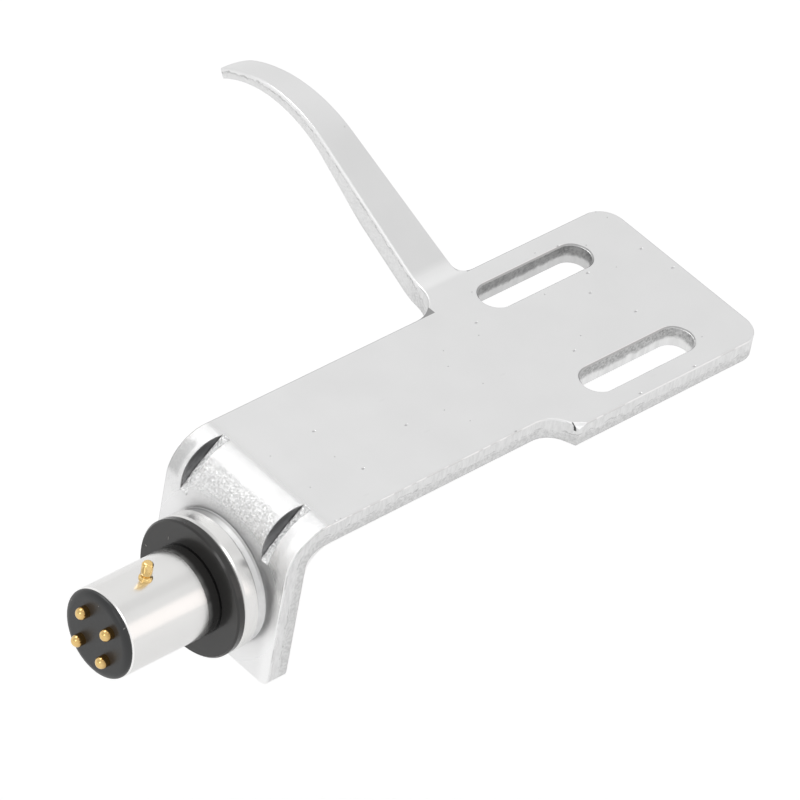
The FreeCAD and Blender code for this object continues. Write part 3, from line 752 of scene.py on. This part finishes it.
def skin(name, rings):
    """Closed surface over rings of points: each is joined to the next, the ends to their middles.

    rings has one row of points for each step along the shape, all going round the same way.
    """
    steps, turns, _ = rings.shape
    points = np.vstack([rings.reshape(-1, 3), rings[0].mean(0), rings[-1].mean(0)]) * MM
    i, j = np.meshgrid(np.arange(steps - 1), np.arange(turns), indexing="ij")
    k = (j + 1) % turns
    here, after = i * turns, (i + 1) * turns
    quads = np.stack([here + j, here + k, after + k, after + j], -1).reshape(-1, 4)
    first, last = steps * turns, steps * turns + 1
    start = np.arange(turns)
    start_on = (start + 1) % turns
    end, end_on = start + (steps - 1) * turns, start_on + (steps - 1) * turns
    start_fan = np.stack([np.full(turns, first), start_on, start], 1)
    end_fan = np.stack([np.full(turns, last), end, end_on], 1)
    mesh = bpy.data.meshes.new(name)
    mesh.from_pydata(points.tolist(), [], quads.tolist() + start_fan.tolist() + end_fan.tolist())
    mesh.validate()
    mesh.shade_smooth()
    piece = bpy.data.objects.new(name, mesh)
    bpy.context.scene.collection.objects.link(piece)
    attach(piece, "root")
    print(name, len(mesh.polygons), "faces")
    return piece


def turned(profile, turns):
    """A profile of (along, r) turned round an axis: along, r cos a and r sin a for each angle a."""
    along, r = np.asarray(profile, float).T
    a = np.linspace(0, 2 * math.pi, turns, endpoint=False)
    return np.repeat(along[:, None], turns, 1), np.outer(r, np.cos(a)), np.outer(r, np.sin(a))


CAP_FACE, CAP_RADIUS, CAP_SEAT = -10.0, 3.95, -9.5
NOSE_DEEP, NOSE_WIDE = 0.42, 0.72
CORE_END, CORE_RADIUS = 5.7, 3.2
FACE_RINGS = (0.4, 1.2, 2.6, CAP_RADIUS - NOSE_WIDE - 0.03)
CORE_TURNS = 96


def core_profile():
    """From the face outwards: flat, a quarter ellipse round the nose, the rim, then the core."""
    turn = np.linspace(0, math.pi / 2, 12)
    nose_x = CAP_FACE + NOSE_DEEP * (1 - np.cos(turn))
    nose_r = CAP_RADIUS - NOSE_WIDE * (1 - np.sin(turn))
    face = [(CAP_FACE, r) for r in FACE_RINGS]
    rest = [
        (CAP_SEAT - 0.02, CAP_RADIUS), (CAP_SEAT, CAP_RADIUS - 0.02),
        (CAP_SEAT, CORE_RADIUS + 0.04), (CAP_SEAT + 0.04, CORE_RADIUS),
        (CORE_END - 0.04, CORE_RADIUS), (CORE_END, CORE_RADIUS - 0.04), (CORE_END, 0.4),
    ]
    return face + list(zip(nose_x, nose_r)) + rest


core = skin("plug_core", np.stack(turned(core_profile(), CORE_TURNS), -1))
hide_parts("insulator")
f = Finish("black_moulded_plastic")
dust = f.specks(1.6, 0.05, 0.35, stretch=(1.0, 1.0, 0.6), flat="YZ")
f.shine(Base_Color=f.blend(dust, (0.030, 0.031, 0.032), (0.30, 0.29, 0.28)))
f.shine(Roughness=f.line(f.noise(0.8, 3.0), 0.16, 0.26))
f.shine(Normal=f.bump(f.noise(0.3, 3.0), 0.012, 0.5))
f.coat(core)

# %% [markdown]
# ## Gold contacts and the locating pin
# The contacts and the locating pin are brass with a thin layer of gold, polished by the tumbling
# that comes before plating. Gold is a metal whose colour is in its reflection, and a painted brown
# shade darkens it round the foot of each contact. The locating pin has a small ring and a groove at
# its foot, left by the lathe where it was pressed in; the same rings of points as for the core give
# it, round an upright axis.

# %% Locating pin
PIN_X = -5.3
PIN_TURNS = 64
PIN_PROFILE = (
    (3.20, 0.46), (3.90, 0.50), (3.96, 0.58), (4.06, 0.61), (4.14, 0.58), (4.18, 0.50),
    (4.22, 0.43), (4.30, 0.42), (4.36, 0.44), (4.40, 0.50), (4.90, 0.50), (5.40, 0.50),
    (5.50, 0.495), (5.56, 0.47), (5.66, 0.38), (5.70, 0.34), (5.70, 0.15),
)
pin_z, pin_x, pin_y = turned(PIN_PROFILE, PIN_TURNS)
pin = skin("bayonet_pin", np.stack([PIN_X + pin_x, pin_y, pin_z], -1))
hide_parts("locating_pin")

# %% Gold finish
CONTACTS_TO_X = -9.5
f = Finish("gold_plating")
x = f.millimetres()[0]
# painted shade: the contacts' feet are toned dark brown
contact_foot_shade = f.all_of(f.band(x, -10.92, -10.35), f.less(x, CONTACTS_TO_X))
gold = f.blend(f.noise(0.5, 2.0), (0.78, 0.50, 0.16), (0.93, 0.70, 0.34))
f.shine(Base_Color=f.layers(gold, (contact_foot_shade, 0.85, (0.30, 0.15, 0.035))), Metallic=1.0)
f.shine(Roughness=f.line(f.noise(0.2, 2.0), 0.08, 0.07))
f.shine(Normal=f.bump(f.noise(0.15, 2.0), 0.006, 0.3))
f.coat(pin, *(nodes[n] for n in sorted(nodes) if n.startswith("contact_pin")))

# %% [markdown]
# ## Torn metal in the darts
# The tool that pressed the darts tore the sheet's skin: a bright, ragged strip runs along each
# dart's floor and turns up in a small hook at its ends. It stands out of the floor by a tenth of
# a millimetre, too ragged for a solid. Here it is a flat ring of points carried along the floor,
# whose upper half rises by a seeded random height that is smoothed by averaging neighbours.

# %% Torn strips
DART_UPPER = np.array([7.2, 9.3])
DART_LOWER = np.array([3.1, 5.2])
STRIP_STEPS, STRIP_ACROSS = 120, 17
STRIP_HALF, STRIP_SUNK, STRIP_EDGE = 0.45, -0.12, -0.03
RAMP, RAGGED, HOOK, HOOK_REACH = 0.12, 0.16, 0.10, 0.03
STRIPS = (("left", 1, 5), ("right", -1, 11))  # name, side of the middle, seed


def ragged_heights(seed, steps, across):
    """Random heights between 0 and 1, each averaged with its neighbours twice."""
    height = np.random.default_rng(seed).random((steps, across))
    for _ in range(2):
        rows = np.roll(height, 1, 0) + np.roll(height, -1, 0)
        height = (height + rows + np.roll(height, 1, 1)) / 4
    return (height - height.min()) / (height.max() - height.min())


def torn_strip(side, seed):
    """A strip on the dart's floor: place = chord point + across * Y + outward * height.

    Across the strip t runs from -1 to 1. The height is a ramp that climbs with t, plus the ragged
    height and a hook at each end, both times 1 - t^4. The hook is exp(-(distance / reach)^2).
    """
    s = np.linspace(0.0, 1.0, STRIP_STEPS)
    t = np.linspace(-1, 1, STRIP_ACROSS)
    chord = DART_LOWER + np.outer(s, DART_UPPER - DART_LOWER)
    out = np.array([-1, 1]) / math.sqrt(2)
    inside = np.sqrt(4 * s * (1 - s))[:, None]
    ends = (np.exp(-(s / HOOK_REACH) ** 2) + np.exp(-((1 - s) / HOOK_REACH) ** 2))[:, None]
    rough = RAGGED * ragged_heights(seed, STRIP_STEPS, STRIP_ACROSS) + HOOK * ends
    height = 0.02 + RAMP * inside * (t + 1) + rough * (1 - t ** 4)
    height[:, 0] = height[:, -1] = STRIP_EDGE
    width = STRIP_HALF * (0.94 + 0.06 * ragged_heights(seed + 1, STRIP_STEPS, 1)[:, 0])
    rise = np.concatenate([height, np.full_like(height, STRIP_SUNK)], 1)
    over = np.concatenate([t, t[::-1]])
    x = chord[:, :1] + out[0] * rise
    z = chord[:, 1:] + out[1] * rise
    y = DART_SHIFT + side * DART_MIDDLE + width[:, None] * over
    return np.stack([x, y, z], -1)[:, ::-1]


tears = [skin(f"dart_tear_{name}", torn_strip(side, seed)) for name, side, seed in STRIPS]
f = Finish("torn_bright_metal")
spots = f.band(f.noise(0.20, 3.0, 0.7), 0.35, 0.65)
f.shine(Base_Color=f.blend(spots, 0.66, 0.98), Metallic=0.75, Roughness=0.34)
f.shine(Normal=f.bump(f.noise(0.12, 3.0, 0.7), 0.05, 0.6))
f.coat(*tears)

# %% [markdown]
# ## End

# %% End
print("all finishes in place")
